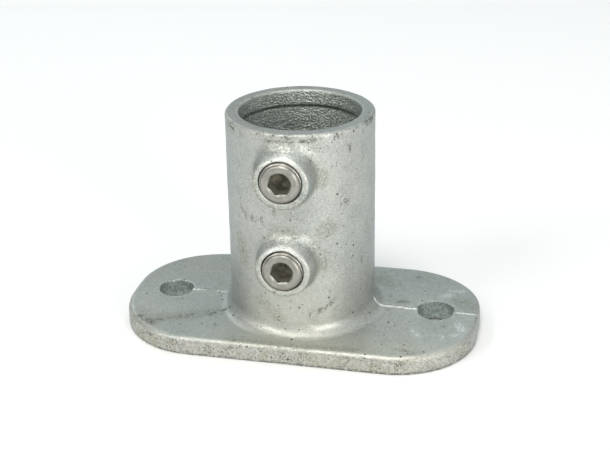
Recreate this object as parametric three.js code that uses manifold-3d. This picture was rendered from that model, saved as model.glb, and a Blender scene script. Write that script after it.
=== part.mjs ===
// Clamp-on base for a round stanchion tube: one galvanised iron casting (flange plate, collar and two
// screw bosses) and two hexagon-socket set screws that grip the tube.
// Millimetres, +Z up. The origin is on the underside of the plate, on the collar's axis. The plate's
// length runs along X, and the screws are driven in from the front, along +Y.

import * as THREE from "three";
import { mergeVertices } from "three/addons/utils/BufferGeometryUtils.js";
import Module from "manifold-3d";

// Flange plate. Its top face falls a little from the mould line, along the middle, to each long edge
const PLATE_LENGTH = 149;
const PLATE_WIDTH = 80;
const PLATE_THICKNESS = 9;
const PLATE_FALL = 1.25;
const PLATE_CORNER_RADIUS = 34.3;
const PLATE_EDGE_RADIUS = 2.2;
const FIXING_HOLE_SPACING = 113;
const FIXING_HOLE_RADIUS = 7.3;
const FIXING_HOLE_EDGE = 0.4;

// Collar, with a little casting draft
const TOTAL_HEIGHT = 94.2;
const COLLAR_TOP_RADIUS = 30;
const COLLAR_FOOT_RADIUS = 30.3;
const COLLAR_RIM_ROUNDING = 1.2;
const COLLAR_FILLET = 5;

// Socket for a tube 48.3 across: a land at each end, a relieved stretch between them, and a lip at the
// bottom that the tube stands on
const SOCKET_RADIUS = 24.6;
const SOCKET_MOUTH_ROUNDING = 0.6;
const SOCKET_LAND = 6.7;
const SOCKET_RELIEF = 0.8;
const TUBE_STOP_HEIGHT = 6;
const DRAIN_RADIUS = 19.5;

// Screw bosses on the front of the collar
const SCREW_HEIGHTS = { upper: 76.9, lower: 39.7 };
const BOSS_RADIUS = 11;
const BOSS_FOOT_RADIUS = 12.3;
const BOSS_FACE = 36.4;
const BOSS_EDGE_ROUNDING = 1.3;
const BOSS_FILLET = 3;
const SCREW_HOLE_RADIUS = 8.5;
const SCREW_HOLE_MOUTH_CHAMFER = 0.4;

// Set screws: distances from the collar's axis and sizes of the screw itself
const SCREW_FACE = 37.8;
const SCREW_POINT = 24.5;
const SCREW_RADIUS = 8.2;
const SCREW_FACE_CHAMFER = 1.4;
const SCREW_POINT_RADIUS = 4.4;
const SCREW_POINT_TAPER = 2.2;
const SCREW_CUP_RADIUS = 3.4;
const SCREW_CUP_DEPTH = 1.3;
const KEY_ACROSS_FLATS = 8;
const KEY_SOCKET_DEPTH = 6.2;
const KEY_SOCKET_CHAMFER = 0.6;
const KEY_SOCKET_TURN = THREE.MathUtils.degToRad(10.5);

// Facets
const COLLAR_SEGMENTS = 72;
const BOSS_SEGMENTS = 48;
const HOLE_SEGMENTS = 36;
const ROUNDING_STEPS = 4;
const PLATE_CORNER_STEPS = 12;

// How far a cutter runs past the surface that it cuts
const OVERRUN = 5;

const wasm = await Module();
wasm.setup();

// A closed three.js geometry as a solid. Shared vertices are merged, and the empty triangles that a
// turned profile has on its axis are dropped.
function solidFrom(geometry) {
  const bare = geometry.clone();
  bare.deleteAttribute("normal");
  bare.deleteAttribute("uv");
  const merged = mergeVertices(bare, 1e-4);
  const corners = merged.index.array;
  const kept = [];
  for (let i = 0; i < corners.length; i += 3) {
    const [a, b, c] = [corners[i], corners[i + 1], corners[i + 2]];
    if (a !== b && b !== c && c !== a) {
      kept.push(a, b, c);
    }
  }
  return new wasm.Manifold(new wasm.Mesh({
    numProp: 3,
    vertProperties: new Float32Array(merged.attributes.position.array),
    triVerts: new Uint32Array(kept),
  }));
}

function geometryFrom(solid) {
  const mesh = solid.getMesh();
  const geometry = new THREE.BufferGeometry();
  geometry.setAttribute("position", new THREE.BufferAttribute(mesh.vertProperties, 3));
  geometry.setIndex(new THREE.BufferAttribute(mesh.triVerts, 1));
  return geometry;
}

// Points of a quarter round about a centre, from one angle to the other in degrees.
function arcPoints(centreX, centreY, radius, fromDegrees, toDegrees, steps = ROUNDING_STEPS) {
  const points = [];
  for (let i = 0; i <= steps; i += 1) {
    const angle = THREE.MathUtils.degToRad(fromDegrees + ((toDegrees - fromDegrees) * i) / steps);
    points.push(new THREE.Vector2(centreX + radius * Math.cos(angle), centreY + radius * Math.sin(angle)));
  }
  return points;
}

// A solid turned about the Z axis, from a profile of (radius, height) that starts and ends on the axis
// and goes up the outside.
function turnedUpright(profile, segments) {
  const geometry = new THREE.LatheGeometry(profile, segments);
  geometry.rotateX(Math.PI / 2);
  return solidFrom(geometry);
}

// A solid turned about an axis along Y at the given height. The profile is (radius, y) and goes towards
// +Y up the outside.
function turnedAlongY(profile, segments, height) {
  const geometry = new THREE.LatheGeometry(profile, segments);
  geometry.translate(0, 0, height);
  return solidFrom(geometry);
}

// How far the plate's top face is below its middle, at a distance from the mould line.
function plateFall(distance) {
  return (PLATE_FALL * distance) / (PLATE_WIDTH / 2);
}

// The plate: a rectangle with large round corners, its top edge rounded over. The rounding that the
// extrusion also gives the lower edge is below the underside, and is cut away. The top is then lowered
// towards the long edges, and the hull restores the straight middle line between the plate's ends.
function plate() {
  const halfLength = PLATE_LENGTH / 2 - PLATE_EDGE_RADIUS;
  const halfWidth = PLATE_WIDTH / 2 - PLATE_EDGE_RADIUS;
  const radius = PLATE_CORNER_RADIUS - PLATE_EDGE_RADIUS;
  const outline = new THREE.Shape();
  outline.absarc(halfLength - radius, halfWidth - radius, radius, 0, Math.PI / 2);
  outline.absarc(radius - halfLength, halfWidth - radius, radius, Math.PI / 2, Math.PI);
  outline.absarc(radius - halfLength, radius - halfWidth, radius, Math.PI, 1.5 * Math.PI);
  outline.absarc(halfLength - radius, radius - halfWidth, radius, 1.5 * Math.PI, 2 * Math.PI);
  const slab = new THREE.ExtrudeGeometry(outline, {
    depth: PLATE_THICKNESS,
    steps: 1,
    curveSegments: PLATE_CORNER_STEPS,
    bevelThickness: PLATE_EDGE_RADIUS,
    bevelSize: PLATE_EDGE_RADIUS,
    bevelSegments: ROUNDING_STEPS,
  });
  slab.translate(0, 0, -PLATE_EDGE_RADIUS);
  const ground = new THREE.BoxGeometry(2 * PLATE_LENGTH, 2 * PLATE_WIDTH, 2 * PLATE_THICKNESS);
  ground.translate(0, 0, -PLATE_THICKNESS);
  const lowered = solidFrom(slab).subtract(solidFrom(ground)).warp((point) => {
    point[2] -= plateFall(Math.abs(point[1])) * (point[2] / PLATE_THICKNESS);
  });
  const middleLine = [-halfLength, halfLength].map((x) => [x, 0, PLATE_THICKNESS]);
  return wasm.Manifold.hull([...middleLine, lowered]);
}

// The collar and the fillet at its foot, filled in: the tube socket is cut later.
function collar() {
  const footRadius = COLLAR_FOOT_RADIUS + COLLAR_FILLET;
  const footHeight = PLATE_THICKNESS - plateFall(footRadius);
  const profile = [
    new THREE.Vector2(0, PLATE_THICKNESS / 2),
    new THREE.Vector2(footRadius, PLATE_THICKNESS / 2),
    ...arcPoints(footRadius, footHeight + COLLAR_FILLET, COLLAR_FILLET, 270, 180),
    ...arcPoints(
      COLLAR_TOP_RADIUS - COLLAR_RIM_ROUNDING,
      TOTAL_HEIGHT - COLLAR_RIM_ROUNDING,
      COLLAR_RIM_ROUNDING,
      0,
      90,
    ),
    new THREE.Vector2(0, TOTAL_HEIGHT),
  ];
  return turnedUpright(profile, COLLAR_SEGMENTS);
}

function tubeSocket() {
  const reliefTop = TOTAL_HEIGHT - SOCKET_LAND;
  const reliefBottom = TUBE_STOP_HEIGHT + SOCKET_LAND;
  const reliefRadius = SOCKET_RADIUS + SOCKET_RELIEF;
  const mouthRadius = SOCKET_RADIUS + SOCKET_MOUTH_ROUNDING;
  const profile = [
    new THREE.Vector2(0, -OVERRUN),
    new THREE.Vector2(DRAIN_RADIUS, -OVERRUN),
    new THREE.Vector2(DRAIN_RADIUS, TUBE_STOP_HEIGHT),
    new THREE.Vector2(SOCKET_RADIUS, TUBE_STOP_HEIGHT),
    new THREE.Vector2(SOCKET_RADIUS, reliefBottom - SOCKET_RELIEF),
    new THREE.Vector2(reliefRadius, reliefBottom),
    new THREE.Vector2(reliefRadius, reliefTop),
    new THREE.Vector2(SOCKET_RADIUS, reliefTop),
    ...arcPoints(mouthRadius, TOTAL_HEIGHT - SOCKET_MOUTH_ROUNDING, SOCKET_MOUTH_ROUNDING, 180, 90),
    new THREE.Vector2(mouthRadius, TOTAL_HEIGHT + OVERRUN),
    new THREE.Vector2(0, TOTAL_HEIGHT + OVERRUN),
  ];
  return turnedUpright(profile, COLLAR_SEGMENTS);
}

// A tapered boss that starts inside the collar's wall and ends in a flat face with a rounded edge.
function boss(height) {
  const profile = [
    new THREE.Vector2(0, -BOSS_FACE),
    ...arcPoints(
      BOSS_RADIUS - BOSS_EDGE_ROUNDING,
      BOSS_EDGE_ROUNDING - BOSS_FACE,
      BOSS_EDGE_ROUNDING,
      270,
      360,
    ),
    new THREE.Vector2(BOSS_FOOT_RADIUS, -SOCKET_RADIUS),
    new THREE.Vector2(0, -SOCKET_RADIUS),
  ];
  return turnedAlongY(profile, BOSS_SEGMENTS, height);
}

// The fillet between a boss and the round collar: a closed ring about the boss. Going round it, each
// section follows the collar's curve, so the ring is low at the sides and high above and below.
function bossFillet(height) {
  const wallRadius = (BOSS_RADIUS + BOSS_FOOT_RADIUS) / 2;
  const innerRadius = wallRadius - 1;
  const depthInWall = 2;
  const sectionSize = ROUNDING_STEPS + 3;
  const collarDepth = (x) => Math.sqrt(COLLAR_TOP_RADIUS ** 2 - x ** 2);
  const positions = [];
  const triangles = [];
  for (let i = 0; i < BOSS_SEGMENTS; i += 1) {
    const angle = (2 * Math.PI * i) / BOSS_SEGMENTS;
    const addPoint = (radius, proud) => {
      const x = radius * Math.sin(angle);
      positions.push(x, -(collarDepth(x) + proud), height + radius * Math.cos(angle));
    };
    addPoint(innerRadius, BOSS_FILLET);
    for (let j = 0; j <= ROUNDING_STEPS; j += 1) {
      const turn = (Math.PI / 2) * (j / ROUNDING_STEPS);
      addPoint(wallRadius + BOSS_FILLET * (1 - Math.cos(turn)), BOSS_FILLET * (1 - Math.sin(turn)));
    }
    addPoint(wallRadius, -depthInWall);
    const next = (i + 1) % BOSS_SEGMENTS;
    for (let j = 0; j < sectionSize; j += 1) {
      const across = (j + 1) % sectionSize;
      const corners = [i * sectionSize + j, next * sectionSize + j];
      const opposite = [i * sectionSize + across, next * sectionSize + across];
      triangles.push(corners[0], corners[1], opposite[1]);
      triangles.push(corners[0], opposite[1], opposite[0]);
    }
  }
  const ring = new THREE.BufferGeometry();
  ring.setAttribute("position", new THREE.Float32BufferAttribute(positions, 3));
  ring.setIndex(triangles);
  return solidFrom(ring);
}

// The tapped hole of a boss, a little wider than the plain-sided screw that stands for the threaded one.
function screwHole(height) {
  const profile = [
    new THREE.Vector2(0, -(BOSS_FACE + OVERRUN)),
    new THREE.Vector2(SCREW_HOLE_RADIUS + SCREW_HOLE_MOUTH_CHAMFER, -(BOSS_FACE + OVERRUN)),
    new THREE.Vector2(SCREW_HOLE_RADIUS + SCREW_HOLE_MOUTH_CHAMFER, -BOSS_FACE),
    new THREE.Vector2(SCREW_HOLE_RADIUS, SCREW_HOLE_MOUTH_CHAMFER - BOSS_FACE),
    new THREE.Vector2(SCREW_HOLE_RADIUS, 2 * OVERRUN - SOCKET_RADIUS),
    new THREE.Vector2(0, 2 * OVERRUN - SOCKET_RADIUS),
  ];
  return turnedAlongY(profile, BOSS_SEGMENTS, height);
}

function fixingHole(x) {
  const edgeRadius = FIXING_HOLE_RADIUS + FIXING_HOLE_EDGE;
  const profile = [
    new THREE.Vector2(0, -OVERRUN),
    new THREE.Vector2(FIXING_HOLE_RADIUS, -OVERRUN),
    new THREE.Vector2(FIXING_HOLE_RADIUS, PLATE_THICKNESS - FIXING_HOLE_EDGE),
    new THREE.Vector2(edgeRadius, PLATE_THICKNESS),
    new THREE.Vector2(edgeRadius, PLATE_THICKNESS + OVERRUN),
    new THREE.Vector2(0, PLATE_THICKNESS + OVERRUN),
  ];
  return turnedUpright(profile, HOLE_SEGMENTS).translate(x, 0, 0);
}

function baseCasting() {
  let casting = plate().add(collar());
  for (const height of Object.values(SCREW_HEIGHTS)) {
    casting = casting.add(boss(height)).add(bossFillet(height));
  }
  casting = casting.subtract(tubeSocket());
  for (const height of Object.values(SCREW_HEIGHTS)) {
    casting = casting.subtract(screwHole(height));
  }
  for (const side of [-1, 1]) {
    casting = casting.subtract(fixingHole((side * FIXING_HOLE_SPACING) / 2));
  }
  return geometryFrom(casting);
}

// The hexagonal key socket, open at the screw's face, with a conical lead-in and a drilled end.
function keySocket(height) {
  const cornerRadius = KEY_ACROSS_FLATS / Math.sqrt(3);
  const bottom = KEY_SOCKET_DEPTH - SCREW_FACE;
  const hexagon = new THREE.CylinderGeometry(cornerRadius, cornerRadius, KEY_SOCKET_DEPTH + OVERRUN, 6);
  hexagon.rotateY(Math.PI / 6 - KEY_SOCKET_TURN);
  hexagon.translate(0, bottom - (KEY_SOCKET_DEPTH + OVERRUN) / 2, height);
  const mouthRadius = cornerRadius + KEY_SOCKET_CHAMFER / 2;
  const leadIn = turnedAlongY([
    new THREE.Vector2(0, -(SCREW_FACE + OVERRUN)),
    new THREE.Vector2(mouthRadius, -(SCREW_FACE + OVERRUN)),
    new THREE.Vector2(mouthRadius, -SCREW_FACE),
    new THREE.Vector2(0, mouthRadius - SCREW_FACE),
  ], BOSS_SEGMENTS, height);
  const drillRadius = 0.46 * KEY_ACROSS_FLATS;
  const drilledEnd = turnedAlongY([
    new THREE.Vector2(0, bottom - 1),
    new THREE.Vector2(drillRadius, bottom - 1),
    new THREE.Vector2(drillRadius, bottom),
    new THREE.Vector2(0, bottom + drillRadius / 2),
  ], HOLE_SEGMENTS, height);
  return solidFrom(hexagon).add(leadIn).add(drilledEnd);
}

// A set screw with a chamfered face, a tapered end and a hollow cup point that bites into the tube.
function setScrew(height) {
  const profile = [
    new THREE.Vector2(0, -SCREW_FACE),
    new THREE.Vector2(SCREW_RADIUS - SCREW_FACE_CHAMFER, -SCREW_FACE),
    new THREE.Vector2(SCREW_RADIUS, SCREW_FACE_CHAMFER - SCREW_FACE),
    new THREE.Vector2(SCREW_RADIUS, -(SCREW_POINT + SCREW_POINT_TAPER)),
    new THREE.Vector2(SCREW_POINT_RADIUS, -SCREW_POINT),
    new THREE.Vector2(SCREW_CUP_RADIUS, -SCREW_POINT),
    new THREE.Vector2(0, -(SCREW_POINT + SCREW_CUP_DEPTH)),
  ];
  return geometryFrom(turnedAlongY(profile, BOSS_SEGMENTS, height).subtract(keySocket(height)));
}

const zincCoatedIron = new THREE.MeshStandardMaterial({ color: 0xa9aea9, roughness: 0.55, metalness: 0.7 });
const screwSteel = new THREE.MeshStandardMaterial({ color: 0xa6a29b, roughness: 0.35, metalness: 0.9 });

const group = new THREE.Group();

const casting = new THREE.Mesh(baseCasting(), zincCoatedIron);
casting.name = "base_casting";
group.add(casting);

for (const [place, height] of Object.entries(SCREW_HEIGHTS)) {
  const screw = new THREE.Mesh(setScrew(height), screwSteel.clone());
  screw.name = `${place}_set_screw`;
  group.add(screw);
}

export default group;
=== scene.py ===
import itertools
import math
from functools import partial

import bpy
import numpy as np
from mathutils import Matrix, Vector


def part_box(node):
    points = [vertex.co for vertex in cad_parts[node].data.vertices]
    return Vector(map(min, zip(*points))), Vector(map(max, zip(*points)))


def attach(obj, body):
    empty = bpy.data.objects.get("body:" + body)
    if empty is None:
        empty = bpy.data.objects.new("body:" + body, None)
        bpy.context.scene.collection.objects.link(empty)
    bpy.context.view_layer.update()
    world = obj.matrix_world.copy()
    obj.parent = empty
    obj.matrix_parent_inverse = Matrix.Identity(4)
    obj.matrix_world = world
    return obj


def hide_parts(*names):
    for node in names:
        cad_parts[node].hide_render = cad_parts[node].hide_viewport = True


# The looks of a clamp-on stanchion base: a hot-dip galvanised iron casting and two set screws.
# Metres, +Z up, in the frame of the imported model. Each piece starts as a fine copy of its CAD node,
# drawn onto a distance function that adds what a casting has: fillets, rounded edges, a mould line,
# a rough socket and an uneven skin.

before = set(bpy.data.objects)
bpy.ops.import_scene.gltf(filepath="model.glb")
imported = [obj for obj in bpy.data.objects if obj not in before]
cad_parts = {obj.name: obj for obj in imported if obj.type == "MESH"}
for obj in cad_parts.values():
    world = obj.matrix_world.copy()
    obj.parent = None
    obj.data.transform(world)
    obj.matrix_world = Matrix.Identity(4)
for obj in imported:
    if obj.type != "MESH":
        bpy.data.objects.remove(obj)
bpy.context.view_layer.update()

MM = 0.001

# Sizes that the frame gives
CASTING_LOW, CASTING_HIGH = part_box("base_casting")
LENGTH = CASTING_HIGH.x - CASTING_LOW.x
WIDTH = CASTING_HIGH.y - CASTING_LOW.y
HEIGHT = CASTING_HIGH.z
SCREWS = {name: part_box(name) for name in ("upper_set_screw", "lower_set_screw")}
SCREW_HEIGHTS = [(low.z + high.z) / 2 for low, high in SCREWS.values()]

# Plate: its top falls from the mould line, along the middle, to each long edge
PLATE_THICKNESS = 9 * MM
PLATE_FALL = 1.25 * MM
PLATE_CORNER_RADIUS = 34.3 * MM
PLATE_TOP_EDGE = 2.2 * MM
PLATE_BOTTOM_EDGE = 0.7 * MM
FIXING_HOLE_X = 56.5 * MM
FIXING_HOLE_RADIUS = 7.35 * MM
FIXING_HOLE_EDGE = 0.25 * MM
FIXING_HOLE_UNEVENNESS = 0.12 * MM
RIGHT_HOLE_REACH = 1.0 * MM

# Collar and socket
COLLAR_TOP_RADIUS = 30 * MM
COLLAR_FOOT_RADIUS = 30.3 * MM
COLLAR_RIM_EDGE = 1.0 * MM
COLLAR_FILLET = 5 * MM
SOCKET_RADIUS = 24.6 * MM
SOCKET_MOUTH_EDGE = 0.5 * MM
SOCKET_LAND = 6.7 * MM
SOCKET_RELIEF = 0.9 * MM
TUBE_STOP = 6 * MM
DRAIN_RADIUS = 19.5 * MM

# Bosses
BOSS_RADIUS = 11 * MM
BOSS_TAPER = 0.16
BOSS_TOP_TAPER = 0.6
BOSS_TOP_CUT = 1.9 * MM
BOSS_FACE = 36.4 * MM
BOSS_EDGE = 0.9 * MM
BOSS_TOP_EDGE = 2.5 * MM
BOSS_FILLET = 1.1 * MM
BOSS_TOP_FILLET = 3 * MM
SCREW_HOLE_RADIUS = 8.45 * MM
SCREW_HOLE_EDGE = 0.4 * MM

# Set screw
THREAD_PITCH = 1.337 * MM
THREAD_DEPTH = 0.8 * MM
THREAD_STEEPNESS = 1.3
THREAD_FLAT = 0.15
FACE_CHAMFER = 1.4 * MM
FACE_EDGE = 0.3 * MM
POINT_RADIUS = 4.4 * MM
POINT_TAPER = 2.2 * MM
CUP_RADIUS = 3.4 * MM
CUP_DEPTH = 1.3 * MM
KEY_ACROSS_FLATS = 8 * MM
KEY_DEPTH = 6.2 * MM
KEY_END_SLOPE = 0.25
KEY_MOUTH_RADIUS = 4.85 * MM
KEY_EDGE = 0.1 * MM
KEY_TURN = math.radians(10.5)

# Mould line
MOULD_RIDGE_WIDTH = 0.55 * MM
MOULD_RIDGE_HEIGHT = 0.4 * MM
MOULD_GROOVE_Y = 1.3 * MM

# Layers of noise on the skin: each a height, a size and a seed
CAST_SKIN = ((0.10 * MM, 17 * MM, 1), (0.06 * MM, 6 * MM, 2), (0.035 * MM, 2.4 * MM, 3))
SOCKET_SKIN = ((0.10 * MM, 1.8 * MM, 4), (0.07 * MM, 1.0 * MM, 5))
SCREW_SKIN = ((0.008 * MM, 1.2 * MM, 30),)
SKIN_SETBACK = 0.05 * MM
RIM_KNOCK_DEPTH = 0.25 * MM

# Mesh
CASTING_VOXEL = 0.45 * MM
SCREW_VOXEL = 0.24 * MM
CASTING_TRIANGLES = 190_000
SCREW_TRIANGLES = 60_000
GRADIENT_STEP = 0.05 * MM
PROJECTION_STEPS = 4
LEAST_STEEPNESS = 0.25
BEND_REACH = 0.8 * MM


def linear(red, green, blue):
    """A display colour of 0 to 255 as linear RGBA."""
    channels = [c / 255 for c in (red, green, blue)]
    return (*(c / 12.92 if c <= 0.04045 else ((c + 0.055) / 1.055) ** 2.4 for c in channels), 1)


# ---------------------------------------------------------------- distance functions


def smooth_step(value, low, high):
    share = np.clip((value - low) / (high - low), 0, 1)
    return share * share * (3 - 2 * share)


def round_union(a, b, radius):
    """Two solids joined with a fillet."""
    past = np.hypot(np.maximum(radius - a, 0), np.maximum(radius - b, 0))
    return np.maximum(radius, np.minimum(a, b)) - past


def round_overlap(a, b, radius):
    """What two solids share, with its edge rounded."""
    past = np.hypot(np.maximum(radius + a, 0), np.maximum(radius + b, 0))
    return np.minimum(-radius, np.maximum(a, b)) + past


def lattice_value(lattice, seed):
    """A number from -1 to 1 for each whole-number point."""
    mixed = lattice[:, 0] * 73856093 ^ lattice[:, 1] * 19349663 ^ lattice[:, 2] * 83492791
    mixed ^= seed * 2654435761
    mixed = (mixed ^ (mixed >> 13)) * 1274126177 & 0xFFFFFFFF
    return (mixed ^ (mixed >> 16)).astype(float) / 0x7FFFFFFF - 1


def smooth_noise(points, size, seed):
    """Smooth noise from -1 to 1, with bumps about size across."""
    cell = points / size
    base = np.floor(cell).astype(np.int64)
    part = cell - base
    part = part * part * (3 - 2 * part)
    total = np.zeros(len(points))
    for corner in itertools.product((0, 1), repeat=3):
        weight = np.prod(np.where(corner, part, 1 - part), axis=1)
        total += weight * lattice_value(base + corner, seed)
    return total


def layered_noise(points, layers):
    """The sum of layers of smooth noise, each a height, a size and a seed."""
    return sum(height * smooth_noise(points, size, seed) for height, size, seed in layers)


def plate_top(y):
    return PLATE_THICKNESS - PLATE_FALL * np.abs(y) / (WIDTH / 2)


def plate_distance(x, y, z):
    corner_x = np.abs(x) - (LENGTH / 2 - PLATE_CORNER_RADIUS)
    corner_y = np.abs(y) - (WIDTH / 2 - PLATE_CORNER_RADIUS)
    outside = np.hypot(np.maximum(corner_x, 0), np.maximum(corner_y, 0))
    outline = outside + np.minimum(np.maximum(corner_x, corner_y), 0) - PLATE_CORNER_RADIUS
    above_middle = z > PLATE_THICKNESS / 2
    level = np.where(above_middle, z - plate_top(y), -z)
    edge = np.where(above_middle, PLATE_TOP_EDGE, PLATE_BOTTOM_EDGE)
    return round_overlap(outline, level, edge)


def socket_distance(radius, z):
    """The space for the tube: a land at each end of a relieved stretch, and the drain under the lip."""
    relieved = smooth_step(z, TUBE_STOP + SOCKET_LAND - SOCKET_RELIEF, TUBE_STOP + SOCKET_LAND)
    relieved *= smooth_step(HEIGHT - z, SOCKET_LAND, SOCKET_LAND + SOCKET_RELIEF)
    tube = np.maximum(radius - SOCKET_RADIUS - SOCKET_RELIEF * relieved, TUBE_STOP - z)
    return np.minimum(tube, radius - DRAIN_RADIUS)


def between(bottom, top, share):
    return bottom + (top - bottom) * share


def upward(x, z, height):
    """How far a point's direction from a screw's axis is towards straight up, from 0 to 1."""
    rise = (z - height) / np.maximum(np.hypot(x, z - height), MM)
    return np.maximum(rise, 0) ** 2


def boss_distance(x, y, z, height):
    """A boss for a set screw, its flank steep below and sloping above."""
    above = upward(x, z, height)
    taper = between(BOSS_TAPER, BOSS_TOP_TAPER, above)
    radius = BOSS_RADIUS - BOSS_TOP_CUT * above + taper * (y + BOSS_FACE)
    flank = (np.hypot(x, z - height) - radius) / np.hypot(1, taper)
    boss = round_overlap(flank, -y - BOSS_FACE, between(BOSS_EDGE, BOSS_TOP_EDGE, above))
    return np.maximum(boss, y + SOCKET_RADIUS)


def fixing_hole_distance(points, side):
    """A fixing hole with an uneven wall. The right one reaches further back."""
    x, y = points[:, :2].T
    hole = np.hypot(x - side * FIXING_HOLE_X, y) - FIXING_HOLE_RADIUS
    if side == 1:
        hole -= RIGHT_HOLE_REACH * smooth_step(y, -2 * MM, FIXING_HOLE_RADIUS)
    hole -= FIXING_HOLE_UNEVENNESS * smooth_noise(points, 4 * MM, 20 + side)
    return hole - FIXING_HOLE_UNEVENNESS * smooth_noise(points, 1.5 * MM, 24 + side)


def casting_distance(points):
    x, y, z = points.T
    radius = np.hypot(x, y)
    draft = (COLLAR_FOOT_RADIUS - COLLAR_TOP_RADIUS) * (1 - z / HEIGHT)
    collar = round_overlap(radius - COLLAR_TOP_RADIUS - draft, z - HEIGHT, COLLAR_RIM_EDGE)
    collar = np.maximum(collar, PLATE_THICKNESS / 2 - z)
    body = round_union(plate_distance(x, y, z), collar, COLLAR_FILLET)
    for height in SCREW_HEIGHTS:
        fillet = between(BOSS_FILLET, BOSS_TOP_FILLET, upward(x, z, height))
        body = round_union(body, boss_distance(x, y, z, height), fillet)
    body = round_overlap(body, -socket_distance(radius, z), SOCKET_MOUTH_EDGE)
    for height in SCREW_HEIGHTS:
        across = np.hypot(x, z - height)
        hole = np.maximum(across - SCREW_HOLE_RADIUS, y + SOCKET_RADIUS / 2)
        body = round_overlap(body, -hole, SCREW_HOLE_EDGE)
    for side in (-1, 1):
        body = round_overlap(body, -fixing_hole_distance(points, side), FIXING_HOLE_EDGE)
    return body


def screw_distance(points, low, high):
    """A set screw between its face, at low.y, and its cup point, at high.y."""
    x, y, z = points.T
    z = z - (low.z + high.z) / 2
    depth = y - low.y
    length = high.y - low.y
    crest = (high.x - low.x) / 2
    radius = np.hypot(x, z)
    turn = np.arctan2(z, x) / (2 * math.pi)
    phase = np.mod(depth / THREAD_PITCH + turn, 1)
    groove = np.clip(THREAD_STEEPNESS * np.abs(2 * phase - 1) - THREAD_FLAT, 0, 1)
    threaded = radius - crest + THREAD_DEPTH * groove
    chamfer = (radius - crest + FACE_CHAMFER - depth) * math.sqrt(0.5)
    taper_slope = (crest - POINT_RADIUS) / POINT_TAPER
    taper = (radius - POINT_RADIUS - (length - depth) * taper_slope) / math.hypot(1, taper_slope)
    body = np.maximum(np.maximum(threaded, taper), depth - length)
    body = round_overlap(round_overlap(body, chamfer, FACE_EDGE), -depth, FACE_EDGE)
    cup_slope = CUP_DEPTH / CUP_RADIUS
    cup = (length - CUP_DEPTH + radius * cup_slope - depth) / math.hypot(1, cup_slope)
    hexagon = np.full(len(points), -1.0)
    for side in range(3):
        angle = KEY_TURN + math.radians(30 + 60 * side)
        hexagon = np.maximum(hexagon, np.abs(x * math.cos(angle) + z * math.sin(angle)))
    hexagon -= KEY_ACROSS_FLATS / 2
    key = np.maximum(hexagon, depth - KEY_DEPTH - KEY_END_SLOPE * (KEY_ACROSS_FLATS / 2 - radius))
    mouth = (radius + depth - KEY_MOUTH_RADIUS) * math.sqrt(0.5)
    hollow = np.minimum(key, mouth)
    body = np.maximum(body, -cup)
    return round_overlap(body, -hollow, KEY_EDGE)


# ---------------------------------------------------------------- meshes


def gradient(distance, points):
    steps = []
    for axis in range(3):
        offset = np.zeros(3)
        offset[axis] = GRADIENT_STEP
        steps.append(distance(points + offset) - distance(points - offset))
    return np.stack(steps, axis=1) / (2 * GRADIENT_STEP)


def onto_surface(distance, points):
    """The points moved onto the surface where the distance is nought, and its normals there."""
    for _ in range(PROJECTION_STEPS):
        slope = gradient(distance, points)
        steepness = np.maximum((slope ** 2).sum(axis=1), LEAST_STEEPNESS)
        points = points - slope * (distance(points) / steepness)[:, None]
    slope = gradient(distance, points)
    return points, slope / np.maximum(np.linalg.norm(slope, axis=1), 1e-6)[:, None]


def vertex_points(mesh):
    flat = np.zeros(len(mesh.vertices) * 3)
    mesh.vertices.foreach_get("co", flat)
    return flat.reshape(-1, 3)


def with_modifier(mesh, kind, **settings):
    """The mesh with one modifier applied, as a new mesh."""
    carrier = bpy.data.objects.new("carrier", mesh)
    bpy.context.scene.collection.objects.link(carrier)
    modifier = carrier.modifiers.new(kind.lower(), kind)
    for name, value in settings.items():
        setattr(modifier, name, value)
    changed = bpy.data.meshes.new_from_object(carrier.evaluated_get(bpy.context.evaluated_depsgraph_get()))
    bpy.data.objects.remove(carrier)
    return changed


def bend_of(distance, points, reach):
    """How far the surface bends over a small reach: above 0 on an edge, below 0 in a crease."""
    total = -6 * distance(points)
    for axis, way in itertools.product(range(3), (-1, 1)):
        offset = np.zeros(3)
        offset[axis] = way * reach
        total += distance(points + offset)
    return total / reach


def skinned_piece(name, node, body, distance, relief, masks, voxel, triangles):
    """A fine mesh of a CAD node, drawn onto its distance function, with its relief and masks added."""
    mesh = with_modifier(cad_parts[node].data.copy(), "REMESH", mode="VOXEL", voxel_size=voxel)
    points, normals = onto_surface(distance, vertex_points(mesh))
    points = points + normals * relief(points)[:, None]
    mesh.vertices.foreach_set("co", points.ravel())
    mesh.update()
    mesh.calc_loop_triangles()
    share = min(1.0, triangles / len(mesh.loop_triangles))
    mesh = with_modifier(mesh, "DECIMATE", ratio=share)
    mesh.name = name
    mesh.materials.clear()
    low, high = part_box(node)
    points = np.clip(vertex_points(mesh), low, high)
    mesh.vertices.foreach_set("co", points.ravel())
    for mask, values in masks(points).items():
        attribute = mesh.attributes.new(mask, "FLOAT", "POINT")
        attribute.data.foreach_set("value", values.astype(np.float32))
    mesh.shade_smooth()
    piece = bpy.data.objects.new(name, mesh)
    bpy.context.scene.collection.objects.link(piece)
    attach(piece, body)
    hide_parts(node)
    return piece


# ---------------------------------------------------------------- the casting's skin


def plate_spot(x, y):
    """A point on the plate's top, from millimetres."""
    return (x * MM, y * MM, plate_top(y * MM))


def collar_spot(degrees, height):
    """A point on the collar's outside: the angle from its front towards +X, and a height in millimetres."""
    angle = math.radians(degrees)
    return (COLLAR_TOP_RADIUS * math.sin(angle), -COLLAR_TOP_RADIUS * math.cos(angle), height * MM)


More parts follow.
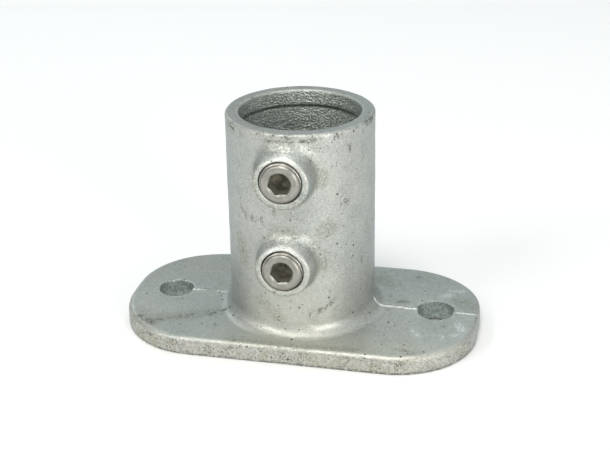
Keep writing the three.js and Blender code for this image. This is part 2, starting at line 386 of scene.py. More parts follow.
# Lines of dross in the zinc: a width in millimetres and the points that each runs through
DROSS_LINES = (
    (1.1, [plate_spot(-62, -29), plate_spot(-55, -27.5), plate_spot(-50, -25.5), plate_spot(-44, -22)]),
    (0.9, [plate_spot(-44, -22), plate_spot(-36, -20), plate_spot(-33, -17), plate_spot(-30, -15)]),
    (1.2, [plate_spot(46, -33), plate_spot(51, -35)]),
    (1.0, [plate_spot(41, 5.2), plate_spot(43.5, 5.6)]),
    (0.9, [collar_spot(19, 17.4), collar_spot(24, 18.5), collar_spot(27, 20), collar_spot(32, 20.7)]),
    (0.9, [collar_spot(32, 20.7), collar_spot(37, 22.5)]),
    (0.8, [collar_spot(42, 64), collar_spot(47, 64.5), collar_spot(54, 66.5)]),
    (0.8, [collar_spot(-40, 60.5), collar_spot(-34, 57)]),
    (0.6, [collar_spot(-30, 57), collar_spot(-18, 58)]),
    (1.0, [collar_spot(51, 88), collar_spot(52, 86)]),
    (0.7, [collar_spot(-13, 91), collar_spot(-1, 91.5), collar_spot(8, 91)]),
    (0.8, [collar_spot(13, 91.5), collar_spot(28, 92)]),
    (1.2, [collar_spot(-60, 92.5), collar_spot(-46, 92)]),
    (1.1, [collar_spot(38, 91.5), collar_spot(46, 92.5)]),
    (1.8, [collar_spot(72, 93.5), collar_spot(84, 94)]),
)

# Lumps of dross, each a size in millimetres and a point
DROSS_LUMPS = (
    (5.0, plate_spot(-58, -30)),
    (4.0, plate_spot(-64, -26)),
    (2.0, plate_spot(-61, 7)),
    (2.0, plate_spot(-56, 8)),
    (1.6, plate_spot(-51, 7)),
    (1.3, plate_spot(-57, -14)),
    (1.5, plate_spot(-31, -27)),
    (1.5, plate_spot(49, -16.6)),
    (2.0, plate_spot(61, -13)),
    (1.5, plate_spot(63, 12)),
    (1.3, plate_spot(65.5, 8)),
    (1.5, plate_spot(36, 9)),
    (2.0, plate_spot(33, 7.5)),
    (1.1, plate_spot(49, 17)),
    (1.0, plate_spot(40, 29)),
    (1.0, plate_spot(45, 31)),
    (1.5, plate_spot(36, -3)),
    (1.9, collar_spot(27, 15.5)),
    (1.2, collar_spot(37, 19)),
    (1.5, collar_spot(67, 64)),
    (1.6, collar_spot(24, 76)),
    (1.3, collar_spot(62, 92)),
    (1.2, collar_spot(-18, 53)),
    (2.0, collar_spot(-8, 62)),
    (2.2, collar_spot(-40, 41)),
    (1.5, collar_spot(65, 36)),
    (1.1, collar_spot(-20, 23.5)),
    (1.8, collar_spot(-38, 91)),
    (1.4, collar_spot(66, 90.5)),
    (1.3, collar_spot(33, 88)),
)

# Where the skin is dirty and finely pitted: a width in millimetres and the points
STAINS = (
    (4, [collar_spot(-21, 22), collar_spot(-6, 15.5)]),
    (5, [collar_spot(-41, 46), collar_spot(-38, 38)]),
    (5, [collar_spot(-10, 88), collar_spot(4, 88)]),
    (5, [collar_spot(-8, 52), collar_spot(6, 52)]),
    (6, [collar_spot(16, 82), collar_spot(26, 76)]),
    (6, [collar_spot(18, 46), collar_spot(26, 40)]),
    (5, [collar_spot(30, 54), collar_spot(34, 55)]),
    (2.5, [plate_spot(-24, -38), plate_spot(6, -38), plate_spot(30, -36)]),
    (6, [plate_spot(-66, -24), plate_spot(-58, -31)]),
    (5, [plate_spot(-62, -29), plate_spot(-44, -22), plate_spot(-30, -15)]),
    (7, [plate_spot(29, 26), plate_spot(34, 22)]),
    (6, [plate_spot(66, 10), plate_spot(70, 6)]),
)

# Pale zinc runs by the right fixing hole
SMEARS = (
    (2.5, [plate_spot(58, 13.5), plate_spot(61, 16)]),
    (1.6, [plate_spot(61, 20), plate_spot(66, 20)]),
    (2.8, [plate_spot(67, -10), plate_spot(69, -14)]),
    (1.8, [plate_spot(62, -21), plate_spot(67, -18)]),
    (2.2, [plate_spot(50, -18), plate_spot(52, -21)]),
)

# Knocks on the collar's rim: an angle from the front towards +X, in degrees, and a size in millimetres
RIM_KNOCKS = ((3, 1.8), (-8, 1.2), (-52, 1.4), (74, 1.6), (-20, 1.2), (22, 1.0), (40, 1.1))

# How far the skin's marks and zones reach, over what width they fade, and how strong they are. A stroke
# is full over the core share of its width, and a spot is a stroke with a very short run.
STROKE_CORE = 0.3
SPOT_RUN = 0.1 * MM
BOSS_FLANK_REACH = 3 * MM
BOSS_FLANK_FADE = 2 * MM
BOSS_SHADE_REACH = 1.5 * MM
BOSS_SHADE_CORE = 0.4 * MM
SOCKET_SKIN_REACH = 1.6 * MM
SOCKET_SKIN_FADE = 0.8 * MM
RIM_SKIN_TOP = 0.4 * MM
RIM_SKIN_BOTTOM = 1 * MM
MOULD_LINE_REACH = 5 * MM
MOULD_LINE_RISE = 1 * MM
MOULD_LINE_FADE = 2 * MM
MOULD_LINE_LEFT_SHARE = 0.8
MOULD_LINE_LOSS_PAST_HOLE = 0.45
UNDERCUT_DROP = 0.4 * MM
UNDERCUT_WIDTH = 0.9 * MM
SIDE_START = 0.5 * MM
SIDE_FADE = 1.2 * MM
BOSS_HIGHLIGHT_SHARE = 0.8


def nearness(points, strokes):
    """How much a point belongs to the strokes: 1 on a stroke, and 0 beyond its width."""
    share = np.zeros(len(points))
    for width, path in strokes:
        for start, end in itertools.pairwise(np.array(path)):
            run = end - start
            along = np.clip((points - start) @ run / (run @ run), 0, 1)
            away = np.linalg.norm(points - start - along[:, None] * run, axis=1)
            share = np.maximum(share, 1 - smooth_step(away, STROKE_CORE * width * MM, width * MM))
    return share


def nearness_to_spots(points, spots):
    """How much a point belongs to the spots: 1 at the middle of a spot, and 0 beyond its size."""
    return nearness(points, [(size / 2, [spot, np.add(spot, (SPOT_RUN, 0, 0))]) for size, spot in spots])


def boss_top_highlight(points):
    """The sloping upper flank of each boss, where a highlight is painted on."""
    x, y, z = points.T
    share = np.zeros(len(points))
    for height in SCREW_HEIGHTS:
        across = np.hypot(x, z - height)
        flank = smooth_step(across, SCREW_HOLE_RADIUS, SCREW_HOLE_RADIUS + MM)
        flank *= smooth_step(BOSS_RADIUS + BOSS_FLANK_REACH - across, 0, BOSS_FLANK_FADE)
        share = np.maximum(share, flank * upward(x, z, height) * (y < -SOCKET_RADIUS))
    return share


def boss_shade(points):
    """The rounded lower edge of each boss on the left, where shade is painted."""
    x, y, z = points.T
    share = np.zeros(len(points))
    for height in SCREW_HEIGHTS:
        across = np.maximum(np.hypot(x, z - height), MM)
        edge = smooth_step(across, BOSS_RADIUS - BOSS_SHADE_REACH, BOSS_RADIUS - BOSS_SHADE_CORE)
        edge *= (across < BOSS_RADIUS + BOSS_SHADE_REACH) * (y < -COLLAR_FOOT_RADIUS)
        share = np.maximum(share, edge * smooth_step(-(x + z - height) / across, 0, 0.8))
    return share


def inside_socket(points):
    x, y, z = points.T
    within = smooth_step(SOCKET_RADIUS + SOCKET_SKIN_REACH - np.hypot(x, y), 0, SOCKET_SKIN_FADE)
    return within * smooth_step(HEIGHT - z, RIM_SKIN_TOP, RIM_SKIN_BOTTOM)


def on_mould_line(points):
    """How plain the line between the two mould halves is near a point: full on the plate's right."""
    x, y, z = points.T
    radius = np.hypot(x, y)
    outside = smooth_step(radius, COLLAR_TOP_RADIUS - 0.5 * MM, COLLAR_FOOT_RADIUS + 0.5 * MM)
    low = smooth_step(PLATE_THICKNESS + COLLAR_FILLET + MOULD_LINE_RISE - z, 0, MOULD_LINE_FADE)
    top = smooth_step(z, PLATE_THICKNESS / 2, PLATE_THICKNESS - MM)
    past_hole = smooth_step(x, FIXING_HOLE_X, FIXING_HOLE_X + FIXING_HOLE_RADIUS)
    right = 1 - MOULD_LINE_LOSS_PAST_HOLE * past_hole
    patches = smooth_step(smooth_noise(points, 4 * MM, 6), -0.1, 0.3)
    left = MOULD_LINE_LEFT_SHARE * patches * (x > -FIXING_HOLE_X)
    return outside * low * top * np.where(x > 0, right, left) * (np.abs(y) < MOULD_LINE_REACH)


def mould_ridge(points):
    """The height of the mould line: a ridge along y = 0, with a groove behind it."""
    y = points[:, 1]
    ridge = np.exp(-(y / MOULD_RIDGE_WIDTH) ** 2) * MOULD_RIDGE_HEIGHT
    groove = np.exp(-((y - MOULD_GROOVE_Y) / MOULD_RIDGE_WIDTH) ** 2) * MOULD_RIDGE_HEIGHT / 2
    return on_mould_line(points) * (ridge - groove)


def casting_relief(points):
    """How far the cast skin stands off the smooth shape."""
    inside = inside_socket(points)
    skin = layered_noise(points, CAST_SKIN) + mould_ridge(points)
    for degrees, size in RIM_KNOCKS:
        away = np.linalg.norm(points - collar_spot(degrees, HEIGHT / MM), axis=1)
        skin -= RIM_KNOCK_DEPTH * np.exp(-(away / (size * MM)) ** 2)
    return (1 - inside) * skin + inside * layered_noise(points, SOCKET_SKIN) - SKIN_SETBACK


def casting_masks(points):
    x, y, z = points.T
    knocks = [(2 * size, collar_spot(degrees, HEIGHT / MM - 1)) for degrees, size in RIM_KNOCKS]
    lumps = nearness_to_spots(points, [*DROSS_LUMPS, *knocks])
    bore = inside_socket(points)
    on_plate = smooth_step(plate_top(y) - SIDE_START - z, 0, SIDE_FADE)
    outer = smooth_step(np.hypot(x, y), COLLAR_TOP_RADIUS - 0.5 * MM, COLLAR_TOP_RADIUS + 1.5 * MM)
    holes = np.minimum(*(fixing_hole_distance(points, side) for side in (-1, 1)))
    wall = on_plate * outer * smooth_step(holes, 1 * MM, 3 * MM)
    below_land = z - HEIGHT + SOCKET_LAND + UNDERCUT_DROP
    return {
        "bend": bend_of(casting_distance, points, BEND_REACH),
        "bore": bore,
        "undercut": bore * np.exp(-(below_land / UNDERCUT_WIDTH) ** 2),
        "wall": wall,
        "hole": smooth_step(holes, 0.6 * MM, 0.2 * MM),
        "dross": np.maximum(nearness(points, DROSS_LINES), lumps),
        "stain": nearness(points, STAINS),
        # Pale zinc runs by the right hole, and a painted highlight on the bosses' upper flanks
        "smear_and_highlight": np.maximum(nearness(points, SMEARS), BOSS_HIGHLIGHT_SHARE * boss_top_highlight(points)),
        "mould": on_mould_line(points),
        # Painted shade on the bosses' lower-left edges
        "shade": boss_shade(points),
    }


# ---------------------------------------------------------------- the screws' skin


def screw_relief(points):
    return layered_noise(points, SCREW_SKIN)


def screw_masks(points, low, high):
    """The distance from the screw's axis in millimetres, and the key socket's inside and its end."""
    x, y, z = points.T
    radius = np.hypot(x, z - (low.z + high.z) / 2)
    depth = y - low.y
    inside = (depth < KEY_DEPTH + 2 * MM) & (radius < KEY_MOUTH_RADIUS)
    return {
        "turned": radius / MM,
        "hollow": inside * smooth_step(depth, 1.0 * MM, 2.0 * MM),
        "bottom": inside * smooth_step(depth, KEY_DEPTH - 0.8 * MM, KEY_DEPTH - 0.1 * MM),
    }


# ---------------------------------------------------------------- materials

# Colours of the zinc, of what lies on it and of the highlights, reflection and shade painted on it, and
# then of the screws and the shade painted in their key sockets
ZINC_COOL = linear(175, 179, 174)
ZINC_WARM = linear(182, 184, 178)
ZINC_RUN_AND_HIGHLIGHT = linear(230, 235, 232)
FOOT_PAINTED_REFLECTION = linear(216, 214, 198)
ZINC_SIDE = linear(196, 195, 188)
BLOTCH = linear(172, 168, 140)
OLIVE = linear(134, 132, 104)
CREASE_DIRT_AND_SHADE = linear(124, 124, 106)
WORN_EDGE = linear(208, 209, 200)
HOLE_WALL = linear(170, 178, 174)
MOULD_CREST_HIGHLIGHT = linear(226, 230, 225)
DARK_SPECK = linear(72, 74, 62)
SOCKET_WALL = linear(184, 191, 184)
SOCKET_UNDERCUT_SHADE = linear(100, 95, 78)
STEEL_DULL = linear(151, 149, 142)
STEEL_BRIGHT = linear(166, 164, 157)
KEY_SOCKET_SHADE = linear(118, 116, 105)
GREASE_AND_SHADE_DARK = linear(70, 68, 60)
GREASE_AND_SHADE_PALE = linear(134, 130, 110)
EDGE_TINT = (0.6, 0.68, 0.72, 1)

# How much of each mark shows, how metallic and rough the surfaces are, and the heights of fine relief
SIDE_SHARE = 0.8
CREST_HIGHLIGHT_SHARE = 0.85
DARK_SHARE = 0.82
ZINC_METALLIC = 0.75
ZINC_ROUGHNESS = (0.36, 0.47)
STEEL_ROUGHNESS = (0.36, 0.46)
SKIN_BUMP = 0.13 * MM
GRAIN_BUMP = 0.085 * MM
LUMP_BUMP = 0.55 * MM
PIT_BUMP = 0.2 * MM
CREST_BUMP = 0.3 * MM
TURNING_BUMP = 0.015 * MM
STEEL_BUMP = 0.02 * MM

# Where a Mix node that mixes colours has its share, its two colours and its result
MIX_SHARE, MIX_FIRST, MIX_SECOND, MIX_RESULT = 0, 6, 7, 2


class Shader:
    """A small helper that adds and links shader nodes."""

    def __init__(self, name):
        self.material = bpy.data.materials.new(name)
        self.material.use_nodes = True
        self.tree = self.material.node_tree
        self.surface = self.tree.nodes["Principled BSDF"]
        coordinates = self.tree.nodes.new("ShaderNodeTexCoord")
        self.millimetres = self.vector("SCALE", coordinates.outputs["Object"], scale=1 / MM)

    def link(self, value, socket):
        if isinstance(value, bpy.types.NodeSocket):
            self.tree.links.new(value, socket)
        else:
            socket.default_value = value

    def node(self, kind, inputs=None, **settings):
        made = self.tree.nodes.new(kind)
        for name, value in settings.items():
            setattr(made, name, value)
        for name, value in (inputs or {}).items():
            self.link(value, made.inputs[name])
        return made

    def vector(self, operation, first, second=None, scale=None):
        made = self.tree.nodes.new("ShaderNodeVectorMath")
        made.operation = operation
        self.link(first, made.inputs[0])
        if second is not None:
            self.link(second, made.inputs[1])
        if scale is not None:
            made.inputs["Scale"].default_value = scale
        return made.outputs["Vector"]

    def math(self, operation, first, second=0.0):
        made = self.tree.nodes.new("ShaderNodeMath")
        made.operation = operation
        self.link(first, made.inputs[0])
        self.link(second, made.inputs[1])
        return made.outputs[0]

    def ramp(self, value, low, high, bottom=0.0, top=1.0):
        made = self.node("ShaderNodeMapRange", clamp=True, interpolation_type="SMOOTHSTEP")
        limits = {"From Min": low, "From Max": high, "To Min": bottom, "To Max": top}
        for name, number in {"Value": value, **limits}.items():
            self.link(number, made.inputs[name])
        return made.outputs["Result"]

    def mix(self, share, first, second, blend="MIX"):
        made = self.node("ShaderNodeMix", data_type="RGBA", blend_type=blend)
        self.link(share, made.inputs[MIX_SHARE])
        self.link(first, made.inputs[MIX_FIRST])
        self.link(second, made.inputs[MIX_SECOND])
        return made.outputs[MIX_RESULT]

    def scaled(self, colour, brightness):
        grey = self.node("ShaderNodeCombineColor", {0: brightness, 1: brightness, 2: brightness})
        return self.mix(1.0, colour, grey.outputs[0], "MULTIPLY")

    def noise(self, size, detail, roughness, offset=(0, 0, 0)):
        """Noise from 0 to 1 with features about size millimetres across."""
        place = self.vector("ADD", self.millimetres, offset)
        inputs = {"Vector": place, "Scale": 1 / size, "Detail": detail, "Roughness": roughness}
        return self.node("ShaderNodeTexNoise", inputs).outputs["Fac"]

    def spots(self, cell, radius, share, offset=(0, 0, 0)):
        """Round spots of up to that radius, in a share of the cells, all in millimetres."""
        place = self.vector("ADD", self.millimetres, offset)
        wobble = self.node("ShaderNodeTexNoise", {"Vector": place, "Scale": 1 / (radius * 1.2)})
        nudge = self.vector("SCALE", wobble.outputs["Color"], scale=radius * 0.9)
        place = self.vector("ADD", place, nudge)
        cells = self.node("ShaderNodeTexVoronoi", {"Vector": place, "Scale": 1 / cell})
        chance = self.node("ShaderNodeSeparateColor", {0: cells.outputs["Color"]})
        largest = radius / cell
        size = self.ramp(chance.outputs[0], 1 - share, 1, -largest, largest)
        inside = self.math("SUBTRACT", size, cells.outputs["Distance"])
        return self.ramp(inside, -0.25 * largest, 0.25 * largest)

    def attribute(self, name):
        return self.node("ShaderNodeAttribute", attribute_name=name).outputs["Fac"]

    def bump(self, height, distance, below=None):
        made = self.node("ShaderNodeBump")
        made.inputs["Strength"].default_value = 1
        made.inputs["Distance"].default_value = distance
        self.link(height, made.inputs["Height"])
        if below is not None:
            self.link(below, made.inputs["Normal"])
        return made.outputs["Normal"]


def zinc_tone(s, place):
    """Zinc with faint cool and warm clouds, a mottle, a fine grain, pale runs and a painted highlight on
    the bosses' upper flanks.
    """
    clouds = s.ramp(s.noise(30, 4, 0.6), 0.36, 0.66)
    tone = s.mix(clouds, ZINC_COOL, ZINC_WARM)
    tone = s.scaled(tone, s.ramp(s.noise(2.2, 4, 0.65, offset=(5, 3, 9)), 0.3, 0.7, 0.95, 1.05))
    tone = s.scaled(tone, s.ramp(s.noise(0.55, 3, 0.7, offset=(8, 2, 4)), 0.32, 0.68, 0.81, 1.17))
    # Pale zinc runs by the right hole, and a painted highlight on the bosses' upper flanks
    streaks = s.ramp(s.noise(0.9, 3, 0.7, offset=(6, 6, 6)), 0.4, 0.6, 0, 0.8)
    tone = s.mix(s.math("MULTIPLY", s.attribute("smear_and_highlight"), streaks), tone, ZINC_RUN_AND_HIGHLIGHT)

    # Painted reflection: the foot of the collar and the plate in front of it are paler and warmer, as if
    # lit by the collar's bright front
    front = s.math("MULTIPLY", s.ramp(place.outputs["Y"], -18, -34), s.ramp(place.outputs["X"], -45, -12))
    foot_reflection = s.math("MULTIPLY", front, s.ramp(place.outputs["Z"], 50, 12, 0, 0.34))
    tone = s.mix(foot_reflection, tone, FOOT_PAINTED_REFLECTION)

    # The rim's flat top is a little darker
    rim_top = s.ramp(place.outputs["Z"], HEIGHT / MM - 0.6, HEIGHT / MM - 0.2, 1.0, 0.92)
    return s.scaled(tone, rim_top)


def plate_side_tone(s):
    """The plate's side, rougher and warmer, with yellow blotches."""
    side_grain = s.ramp(s.noise(1.2, 4, 0.75, offset=(3, 12, 5)), 0.4, 0.6, 0.8, 1.1)
    side = s.scaled(ZINC_SIDE, side_grain)
    blotches = s.ramp(s.noise(5, 4, 0.65, offset=(12, 2, 19)), 0.46, 0.64, 0, 0.5)
    return s.mix(blotches, side, BLOTCH)


def stained(s, tone, bend):
    """The tone with olive stains in places of their own, darker in creases with mottled dirt and painted
    shade, and with painted shade on the bosses' lower-left edges.
    """
    mottle = s.ramp(s.noise(1.0, 4, 0.7, offset=(1, 9, 2)), 0.4, 0.6)
    patches = s.ramp(s.noise(11, 5, 0.6, offset=(31, 7, 12)), 0.55, 0.72, 0, 0.3)
    stain = s.math("MULTIPLY", s.attribute("stain"), 0.4)
    olive = s.math("MULTIPLY", s.math("MAXIMUM", patches, stain), mottle)
    tone = s.mix(olive, tone, OLIVE)
    # Creases darker: partly mottled dirt, partly painted shade
    crease = s.math("MULTIPLY", s.ramp(bend, -0.25, -0.8, 0, 0.6), s.ramp(mottle, 0, 1, 0.5, 1))
    # Painted shade on the bosses' lower-left edges
    crease = s.math("MAXIMUM", crease, s.math("MULTIPLY", s.attribute("shade"), 0.75))
    return s.mix(crease, tone, CREASE_DIRT_AND_SHADE)


def worn(s, tone, bend):
    """The tone with bright worn edges."""
    edge = s.math("MULTIPLY", s.ramp(bend, 0.12, 0.6), s.ramp(s.noise(0.9, 4, 0.75), 0.44, 0.58, 0, 0.7))
    return s.mix(edge, tone, WORN_EDGE)


def mould_line(s, place):
    """The shares of the mould line's painted highlight along its ridge, and of the painted shadow in the
    groove behind it.
    """
    wander = s.ramp(s.noise(7, 2, 0.5, offset=(14, 3, 3)), 0.2, 0.8, -0.5, 0.5)
    across = s.math("ADD", place.outputs["Y"], wander)
    mould = s.attribute("mould")
    crest = s.ramp(s.math("ABSOLUTE", across), 0.75, 0.25)
    broken = s.ramp(s.noise(1.3, 3, 0.6), 0.36, 0.5, 0.25, 1)
    crest = s.math("MULTIPLY", s.math("MULTIPLY", crest, mould), broken)
    behind = s.math("ABSOLUTE", s.math("SUBTRACT", across, MOULD_GROOVE_Y / MM))
    patchy = s.ramp(s.noise(1.9, 3, 0.6, offset=(2, 2, 8)), 0.46, 0.6)
    groove_shade = s.math("MULTIPLY", s.math("MULTIPLY", s.ramp(behind, 0.7, 0.15), patchy), mould)
    return crest, groove_shade


def dark_specks(s, place, wall, groove_shade):
    """Dark specks: everywhere, more on the plate's side and foot, in clusters, and along the dross; and the
    painted shadow in the mould line's groove.
    """
    pits = s.spots(2.8, 0.45, 0.75)
    specks = s.math("MULTIPLY", s.spots(1.6, 0.3, 0.55, offset=(11, 4, 2)), 0.6)
    fine = s.ramp(s.noise(0.5, 3, 0.75, offset=(3, 9, 14)), 0.56, 0.64)
    clusters = s.ramp(s.noise(9, 4, 0.65, offset=(21, 5, 8)), 0.52, 0.66, 0.02, 0.45)
    clusters = s.math("MAXIMUM", clusters, s.math("MULTIPLY", s.attribute("stain"), 0.5))
    clusters = s.math("MAXIMUM", clusters, s.math("MULTIPLY", wall, 0.7))
    pepper = s.math("MULTIPLY", fine, clusters)
    flecks = s.ramp(s.noise(0.9, 4, 0.8, offset=(13, 1, 6)), 0.54, 0.6)
    flecked = s.ramp(s.noise(6, 3, 0.6, offset=(2, 17, 3)), 0.42, 0.58, 0.15, 0.9)
    blots = s.spots(2.2, 0.5, 0.5, offset=(4, 21, 8))
    side_specks = s.math("MULTIPLY", s.math("MAXIMUM", blots, s.math("MULTIPLY", flecks, flecked)), wall)
    grit = s.ramp(s.noise(1.1, 3, 0.7), 0.4, 0.56)
    foot = s.math("MULTIPLY", s.ramp(place.outputs["Z"], 1.8, 0.2), grit)
    crumbs = s.ramp(s.noise(0.75, 3, 0.75, offset=(9, 9, 1)), 0.48, 0.54)
    dross = s.math("MULTIPLY", s.attribute("dross"), crumbs)
    dark = pits
    for more in (specks, pepper, side_specks, foot, dross, groove_shade):
        dark = s.math("MAXIMUM", dark, more)
    return dark


def socket_tone(s, undercut):
    """The rough inside of the socket, with painted shadow just under the upper land's edge."""
    inner = s.scaled(SOCKET_WALL, s.ramp(s.noise(0.8, 3, 0.6), 0.35, 0.65, 0.65, 1.25))
    return s.mix(s.math("MULTIPLY", undercut, 0.4), inner, SOCKET_UNDERCUT_SHADE)


def zinc_relief(s, bore, undercut, dark, crest):
    """A fine cast skin, lumps in the socket, pits under the dark specks and the mould line's ridge."""
    skin = s.bump(s.noise(1.3, 4, 0.6, offset=(7, 1, 3)), SKIN_BUMP)
    grain = s.bump(s.noise(0.5, 3, 0.65), GRAIN_BUMP, below=skin)
    lumps = s.node("ShaderNodeTexVoronoi", {"Vector": s.millimetres, "Scale": 1.5}).outputs["Distance"]
    lumpy = s.math("MULTIPLY", bore, s.math("SUBTRACT", 1.0, undercut))
    cast = s.bump(s.math("MULTIPLY", lumps, lumpy), LUMP_BUMP, below=grain)
    pitted = s.bump(s.math("SUBTRACT", 1.0, dark), PIT_BUMP, below=cast)
    return s.bump(crest, CREST_BUMP, below=pitted)


def galvanised_iron():
    s = Shader("galvanised_iron")
    bend, bore, wall = s.attribute("bend"), s.attribute("bore"), s.attribute("wall")
    undercut = s.attribute("undercut")
    place = s.node("ShaderNodeSeparateXYZ", {0: s.millimetres})
    # The mould line's ridge with its painted highlight, and the painted shadow in its groove
    crest, groove_shade = mould_line(s, place)
    dark = s.math("MULTIPLY", dark_specks(s, place, wall, groove_shade), s.ramp(bore, 1, 0))

    tone = s.mix(s.math("MULTIPLY", wall, SIDE_SHARE), zinc_tone(s, place), plate_side_tone(s))
    tone = worn(s, stained(s, tone, bend), bend)
    hole_grain = s.ramp(s.noise(1.0, 4, 0.75, offset=(3, 12, 5)), 0.38, 0.62, 0.7, 1.3)
    tone = s.mix(s.attribute("hole"), tone, s.scaled(HOLE_WALL, hole_grain))
    # Painted highlight on the mould line's ridge
    tone = s.mix(s.math("MULTIPLY", crest, CREST_HIGHLIGHT_SHARE), tone, MOULD_CREST_HIGHLIGHT)
    # Dark specks, with the painted shadow in the mould line's groove
    tone = s.mix(s.math("MULTIPLY", dark, DARK_SHARE), tone, DARK_SPECK)
    # The socket's inside, with painted shadow under the upper land's edge
    tone = s.mix(bore, tone, socket_tone(s, undercut))
    s.link(tone, s.surface.inputs["Base Color"])

    s.surface.inputs["Metallic"].default_value = ZINC_METALLIC
    s.surface.inputs["Specular Tint"].default_value = EDGE_TINT
    rough = s.ramp(s.noise(2.5, 4, 0.6, offset=(2, 8, 1)), 0.3, 0.7, *ZINC_ROUGHNESS)
    rough = s.math("SUBTRACT", rough, s.math("MULTIPLY", bore, 0.1))
    s.link(s.math("ADD", rough, s.math("MULTIPLY", dark, 0.3)), s.surface.inputs["Roughness"])
    s.link(zinc_relief(s, bore, undercut, dark, crest), s.surface.inputs["Normal"])
    return s.material


def screw_steel():
    s = Shader("screw_steel")
    hollow = s.attribute("hollow")
    tone = s.mix(s.ramp(s.noise(3, 4, 0.6), 0.35, 0.65), STEEL_DULL, STEEL_BRIGHT)
    # Painted shade in the key socket: its walls darker, and its end darker still, partly grease and partly
    # painted shade
    tone = s.mix(hollow, tone, KEY_SOCKET_SHADE)
    grease_and_shade = s.ramp(s.noise(2.4, 4, 0.7, offset=(4, 4, 4)), 0.35, 0.65)
    tone = s.mix(s.attribute("bottom"), tone, s.mix(grease_and_shade, GREASE_AND_SHADE_DARK, GREASE_AND_SHADE_PALE))
    s.link(tone, s.surface.inputs["Base Color"])
    s.link(s.math("SUBTRACT", 1.0, s.math("MULTIPLY", hollow, 0.7)), s.surface.inputs["Metallic"])
    rough = s.ramp(s.noise(0.8, 3, 0.6), 0.3, 0.7, *STEEL_ROUGHNESS)
    s.link(s.math("ADD", rough, s.math("MULTIPLY", hollow, 0.2)), s.surface.inputs["Roughness"])
    rings = {"W": s.attribute("turned"), "Scale": 5.0}
    turning = s.node("ShaderNodeTexNoise", rings, noise_dimensions="1D")
    turned = s.bump(turning.outputs["Fac"], TURNING_BUMP)
    s.link(s.bump(s.noise(0.5, 3, 0.6), STEEL_BUMP, below=turned), s.surface.inputs["Normal"])
    return s.material


# ---------------------------------------------------------------- the object


def make_object():
    casting = skinned_piece(
        "galvanised_casting", "base_casting", "base",
        casting_distance, casting_relief, casting_masks, CASTING_VOXEL, CASTING_TRIANGLES,
    )
    casting.data.materials.append(galvanised_iron())
    steel = screw_steel()
    for node, (low, high) in SCREWS.items():
        place = node.split("_")[0]
        screw = skinned_piece(
            f"{place}_socket_screw", node, f"{place}_screw",
            partial(screw_distance, low=low, high=high), screw_relief,
            partial(screw_masks, low=low, high=high), SCREW_VOXEL, SCREW_TRIANGLES,
        )
        screw.data.materials.append(steel)


# ---------------------------------------------------------------- stage

CAMERA_AZIMUTH = math.radians(12.81)
CAMERA_ELEVATION = math.radians(24.59)
CAMERA_ROLL = math.radians(-0.94)
CAMERA_DISTANCE = 504.2 * MM
CAMERA_LENS = 71.74
CAMERA_AIM_ASIDE = 1.2 * MM
CAMERA_AIM_HEIGHT = 43.43 * MM
CAMERA_CLIP_START = 10 * MM

FLOOR_HALF = 4000 * MM
FLOOR_DROP = 0.05 * MM
FLOOR_COLOUR = (0.95, 0.95, 0.95, 1)
FLOOR_ROUGHNESS = 0.8
SKY_COLOUR = (0.97, 0.99, 1, 1)
SKY_STRENGTH = 0.375


def make_camera():
    azimuth, elevation, roll = CAMERA_AZIMUTH, CAMERA_ELEVATION, CAMERA_ROLL
    back = Vector((
        math.sin(azimuth) * math.cos(elevation),
        -math.cos(azimuth) * math.cos(elevation),
        math.sin(elevation),
    ))
    level = Vector((math.cos(azimuth), math.sin(azimuth), 0))
    up = back.cross(level)
    right = level * math.cos(roll) + up * math.sin(roll)
    up = back.cross(right)
    aim = level * CAMERA_AIM_ASIDE + Vector((0, 0, CAMERA_AIM_HEIGHT))
    camera = bpy.data.objects.new("camera", bpy.data.cameras.new("camera"))
    camera.data.lens = CAMERA_LENS
    camera.data.clip_start = CAMERA_CLIP_START
    turn = Matrix((right, up, back)).transposed().to_4x4()
    camera.matrix_world = Matrix.Translation(aim + back * CAMERA_DISTANCE) @ turn
    bpy.context.scene.collection.objects.link(camera)
    bpy.context.scene.camera = camera


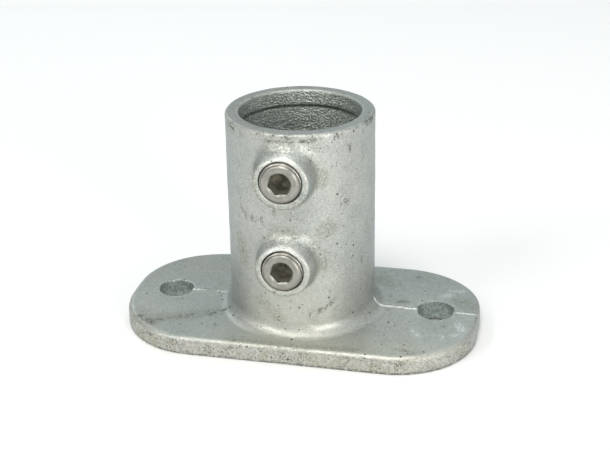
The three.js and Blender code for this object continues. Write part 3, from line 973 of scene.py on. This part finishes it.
def make_floor():
    half = FLOOR_HALF
    mesh = bpy.data.meshes.new("floor")
    corners = [(-half, -half, 0), (half, -half, 0), (half, half, 0), (-half, half, 0)]
    mesh.from_pydata(corners, [], [(0, 1, 2, 3)])
    floor = bpy.data.objects.new("floor", mesh)
    floor.location.z = -FLOOR_DROP
    material = bpy.data.materials.new("floor")
    material.use_nodes = True
    surface = material.node_tree.nodes["Principled BSDF"]
    surface.inputs["Base Color"].default_value = FLOOR_COLOUR
    surface.inputs["Roughness"].default_value = FLOOR_ROUGHNESS
    mesh.materials.append(material)
    bpy.context.scene.collection.objects.link(floor)


# Soft boxes on a ring of stands: the angle from the front towards +X, the angle up, the power and the tint
WARM = (1, 0.985, 0.955)
NEUTRAL = (0.95, 0.985, 1)
COOL = (0.82, 0.96, 1)
SOFT_BOXES = (
    (45, 12, 19.5, WARM),
    (-45, 12, 2, WARM),
    (-45, 36, 12, WARM),
    (0, 36, 4, WARM),
    (0, 62, 13.5, WARM),
    (0, 85, 6, WARM),
    (90, 36, 3, NEUTRAL),
    (135, 62, 2.6, COOL),
    (180, 36, 2.6, COOL),
    (-135, 36, 5.4, COOL),
)
STAND_DISTANCE = 2.2
SOFT_BOX_SIZE = 0.9


def make_soft_box(azimuth, elevation, power, tint):
    azimuth, elevation = math.radians(azimuth), math.radians(elevation)
    level = math.cos(elevation)
    way = Vector((math.sin(azimuth) * level, -math.cos(azimuth) * level, math.sin(elevation)))
    lamp = bpy.data.lights.new("soft_box", "AREA")
    lamp.shape = "SQUARE"
    lamp.size = SOFT_BOX_SIZE
    lamp.energy = power
    lamp.color = tint
    light = bpy.data.objects.new("soft_box", lamp)
    light.location = way * STAND_DISTANCE
    light.rotation_mode = "QUATERNION"
    light.rotation_quaternion = way.to_track_quat("Z", "Y")
    bpy.context.scene.collection.objects.link(light)


def make_studio():
    world = bpy.data.worlds.new("studio")
    world.use_nodes = True
    background = world.node_tree.nodes["Background"]
    background.inputs["Color"].default_value = SKY_COLOUR
    background.inputs["Strength"].default_value = SKY_STRENGTH
    bpy.context.scene.world = world
    for soft_box in SOFT_BOXES:
        make_soft_box(*soft_box)
    bpy.context.scene.view_settings.view_transform = "Standard"


make_camera()
make_object()
make_floor()
make_studio()
